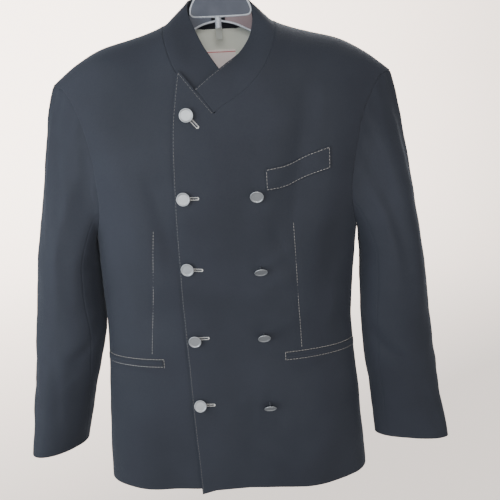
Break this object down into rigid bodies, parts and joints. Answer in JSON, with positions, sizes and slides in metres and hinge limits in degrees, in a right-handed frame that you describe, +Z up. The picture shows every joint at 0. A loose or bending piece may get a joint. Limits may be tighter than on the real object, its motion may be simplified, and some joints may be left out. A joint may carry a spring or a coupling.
{
  "type": "double-breasted blazer on a hanger",
  "caption": "Dark double-breasted military-style blazer with a stand collar, shank buttons and pale top stitching, hanging open-sleeved on a plastic hanger.",
  "frame": {"origin": "the point inside the top of the hanger's hook, where a rail holds it", "axes": "+X towards the wearer's left, which is the viewer's right; -Y out of the front; +Z up"},
  "size_m": [0.7144, 0.1687, 0.8712],
  "materials": {
    "wool": "smooth dark wool-blend suiting, near black with a blue cast",
    "lining": "smooth grey-green lining",
    "label": "woven pale pink label with two red lines, left without lettering",
    "buttons": "satin silver-grey",
    "hanger_plastic": "clear moulded plastic, shown pale blue-grey",
    "hook_steel": "bright wire"
  },
  "bodies": {
    "root": {"front_overlapping": "wool", "front_under": "wool", "back_left": "wool", "back_right": "wool", "collar": "wool", "sleeve_left_top": "wool", "sleeve_left_under": "wool", "sleeve_right_top": "wool", "sleeve_right_under": "wool", "pocket_left_upper_jet": "wool", "pocket_left_lower_jet": "wool", "pocket_right_upper_jet": "wool", "pocket_right_lower_jet": "wool", "chest_welt": "wool", "neck_lining": "lining", "neck_label": "label", "button_closing_1": "buttons", "button_closing_2": "buttons", "button_closing_3": "buttons", "button_closing_4": "buttons", "button_closing_5": "buttons", "button_row_1": "buttons", "button_row_2": "buttons", "button_row_3": "buttons", "button_row_4": "buttons", "hanger": "hanger_plastic", "hook": "hook_steel"}
  },
  "joints": []
}
